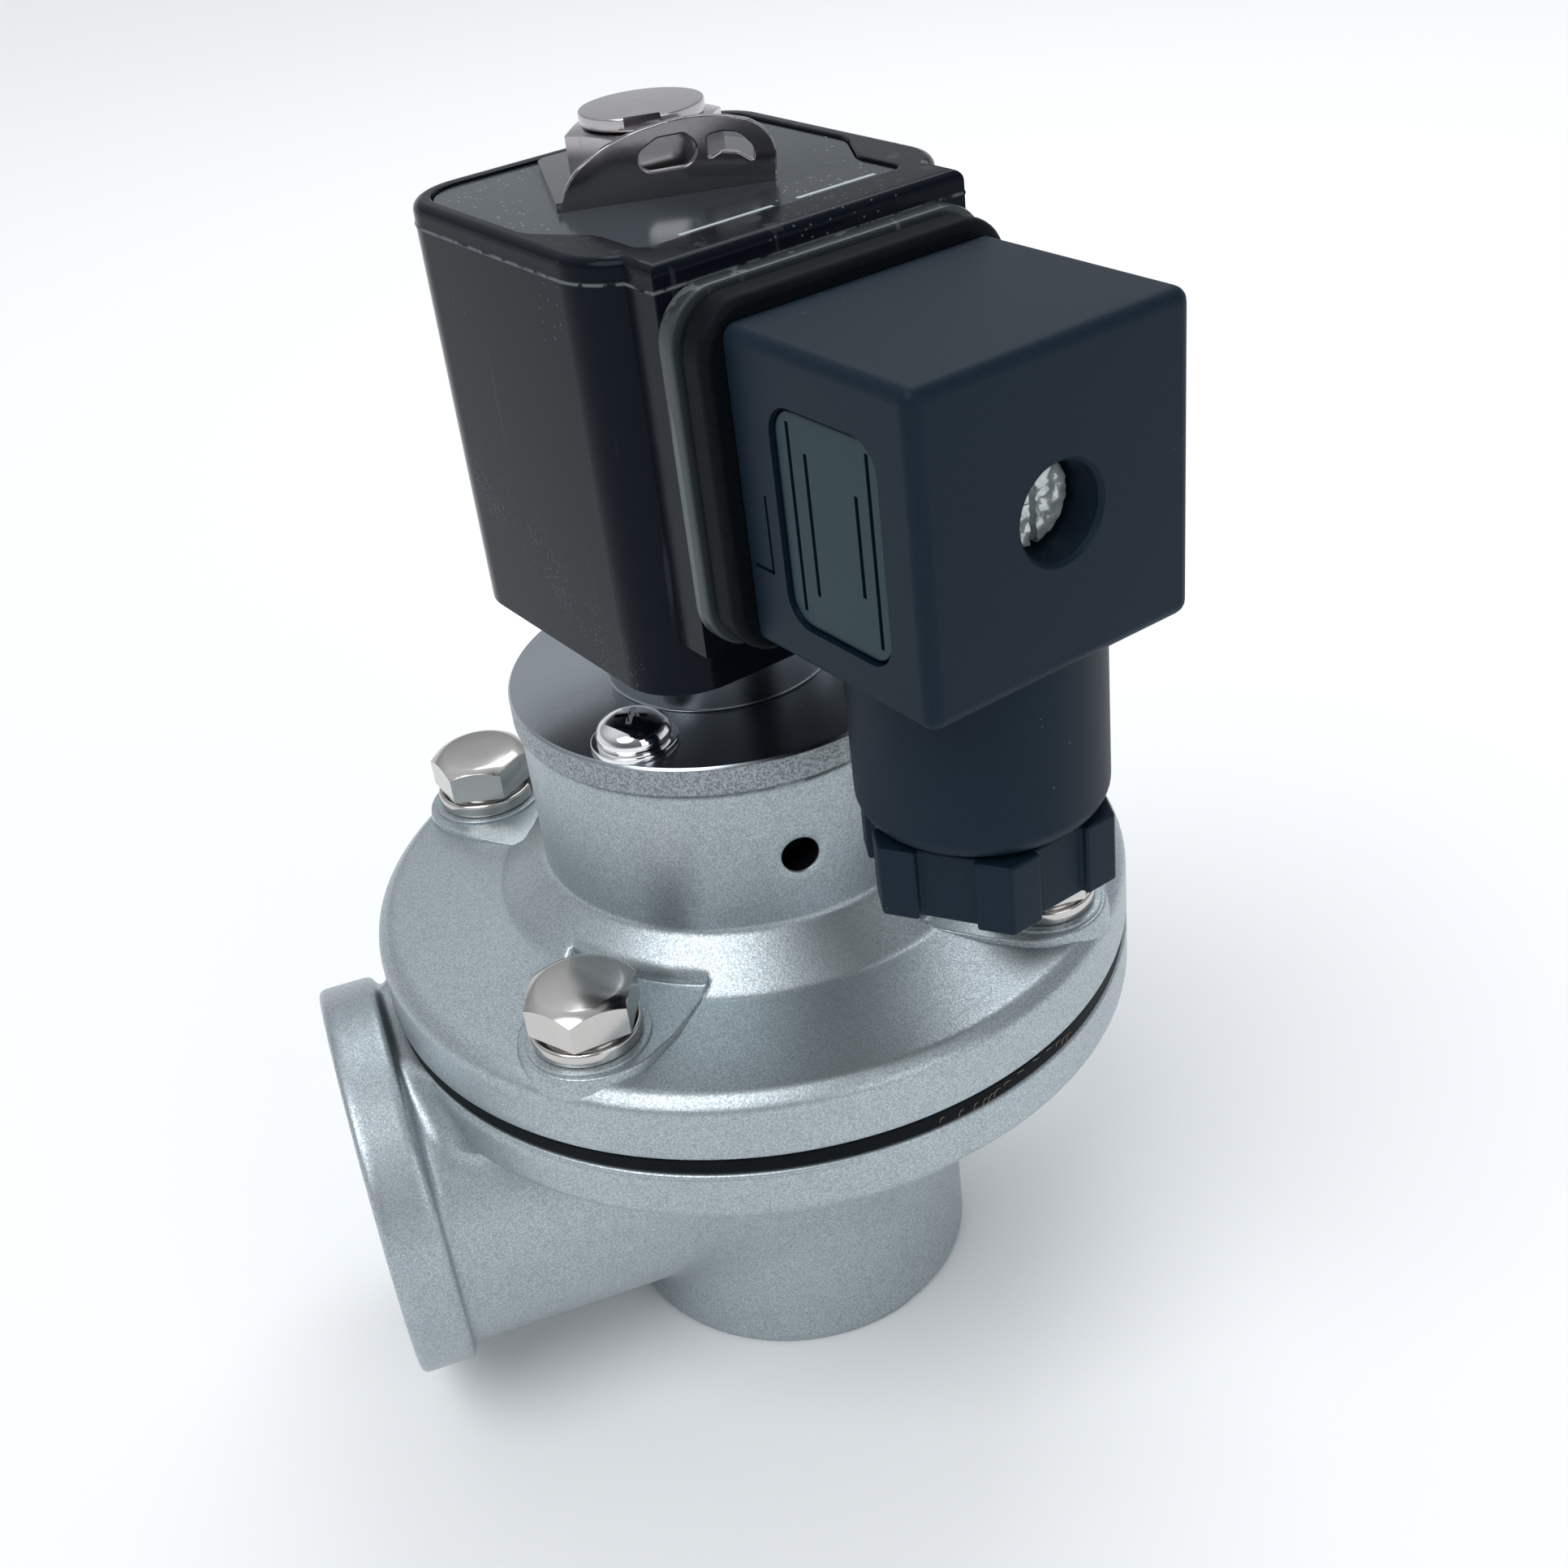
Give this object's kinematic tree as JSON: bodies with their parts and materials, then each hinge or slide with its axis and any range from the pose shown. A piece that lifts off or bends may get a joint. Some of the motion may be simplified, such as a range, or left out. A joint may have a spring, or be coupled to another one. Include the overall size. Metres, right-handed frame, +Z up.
{
  "type": "pulse valve",
  "caption": "Right-angle diaphragm pulse valve with threaded inlet and outlet ports, turret pilot, turnable solenoid coil and square plug connector with cable gland.",
  "frame": {"origin": "centre of the outlet port's end face, on the valve axis", "axes": "+Z up the valve axis towards the coil, -X out of the inlet port; the coil and connector are turned 17 degrees from -Y towards +X"},
  "size_m": [0.0895, 0.0952, 0.1363],
  "materials": {
    "cast_aluminium": "satin silver paint over a fine blasted casting",
    "machined_aluminium": "turned top face, coarse cast edge",
    "disc_aluminium": "turned",
    "black_rubber": "matt moulded rubber",
    "brass": "turned brass",
    "tinned_blade": "tinned brass strip",
    "spring_steel": "drawn wire",
    "nickel_plate": "bright nickel plate",
    "bright_plate": "mirror chrome plate",
    "satin_steel": "satin stainless sheet and bar",
    "tube_steel": "drawn stainless tube",
    "core_iron": "ground magnetic iron",
    "zinc_plate": "clear zinc plate",
    "copper": "bare copper",
    "bobbin_nylon": "natural nylon",
    "coil_resin": "glossy black moulding resin",
    "label_plate": "bare glossy label",
    "base_moulding": "grey-green moulding",
    "connector_moulding": "fine textured black nylon",
    "insert_moulding": "glass filled nylon"
  },
  "bodies": {
    "root": {"valve_body": "cast_aluminium", "main_diaphragm": "black_rubber", "main_spring": "spring_steel", "bonnet": "cast_aluminium", "flange_bolts": "nickel_plate", "flange_spring_washers": "nickel_plate", "pilot_seat": "brass", "core_tube_seal": "black_rubber", "core_tube": "tube_steel", "pilot_plate": "machined_aluminium", "pilot_screws": "bright_plate", "pilot_screw_washers": "bright_plate", "plunger_spring": "spring_steel", "fixed_core": "core_iron", "shading_ring": "copper", "coil_seat_washer": "tube_steel", "coil_nut": "satin_steel", "retaining_clip": "satin_steel"},
    "main_disc": {"diaphragm_upper_disc": "disc_aluminium", "diaphragm_lower_disc": "disc_aluminium", "diaphragm_rivet": "disc_aluminium", "bleed_eyelet": "brass"},
    "plunger_set": {"plunger": "core_iron", "plunger_seal": "black_rubber"},
    "coil_set": {"coil_housing": "coil_resin", "coil_bobbin": "bobbin_nylon", "coil_winding": "copper", "coil_yoke": "core_iron", "coil_label": "label_plate", "terminal_blades": "tinned_blade", "terminal_base": "base_moulding", "connector_gasket": "black_rubber", "connector_housing": "connector_moulding", "connector_insert": "insert_moulding", "terminal_clamps": "brass", "terminal_screws": "zinc_plate", "gland_grommet": "black_rubber"},
    "screw_seal": {"connector_screw_seal": "black_rubber"},
    "screw": {"connector_screw": "zinc_plate"},
    "gland_ring": {"gland_ring": "zinc_plate"},
    "gland_nut": {"gland_nut": "connector_moulding"}
  },
  "joints": [
    {"name": "main_disc_lift", "type": "slide", "parent": "root", "child": "main_disc", "axis": [0, 0, 1], "range_m": [0, 0.006], "stiffness_N_per_m": 400, "springref_m": -0.003, "deforming": ["main_spring", "main_diaphragm"]},
    {"name": "plunger_lift", "type": "slide", "parent": "root", "child": "plunger_set", "axis": [0, 0, 1], "range_m": [0, 0.0018], "stiffness_N_per_m": 300, "springref_m": -0.003, "deforming": ["plunger_spring"]},
    {"name": "coil_swivel", "type": "hinge", "parent": "root", "child": "coil_set", "pos_m": [0, 0, 0.0902], "axis": [0, 0, 1], "continuous": true},
    {"name": "connector_screw_travel", "type": "slide", "parent": "coil_set", "child": "screw_seal", "axis": [0.2924, -0.9563, 0], "range_m": [0, 0.0025]},
    {"name": "connector_screw_turn", "type": "hinge", "parent": "screw_seal", "child": "screw", "pos_m": [0, 0, 0.112], "axis": [0.2924, -0.9563, 0], "range_deg": [0, 1800]},
    {"name": "gland_nut_travel", "type": "slide", "parent": "coil_set", "child": "gland_ring", "axis": [0, 0, -1], "range_m": [0, 0.003]},
    {"name": "gland_nut_turn", "type": "hinge", "parent": "gland_ring", "child": "gland_nut", "pos_m": [0.01202, -0.0393, 0.08], "axis": [0, 0, -1], "range_deg": [0, 720]}
  ],
  "couplings": [
    {"joint": "connector_screw_turn", "follows": "connector_screw_travel", "rad_per_m": 12566},
    {"joint": "gland_nut_turn", "follows": "gland_nut_travel", "rad_per_m": 4188.8}
  ]
}
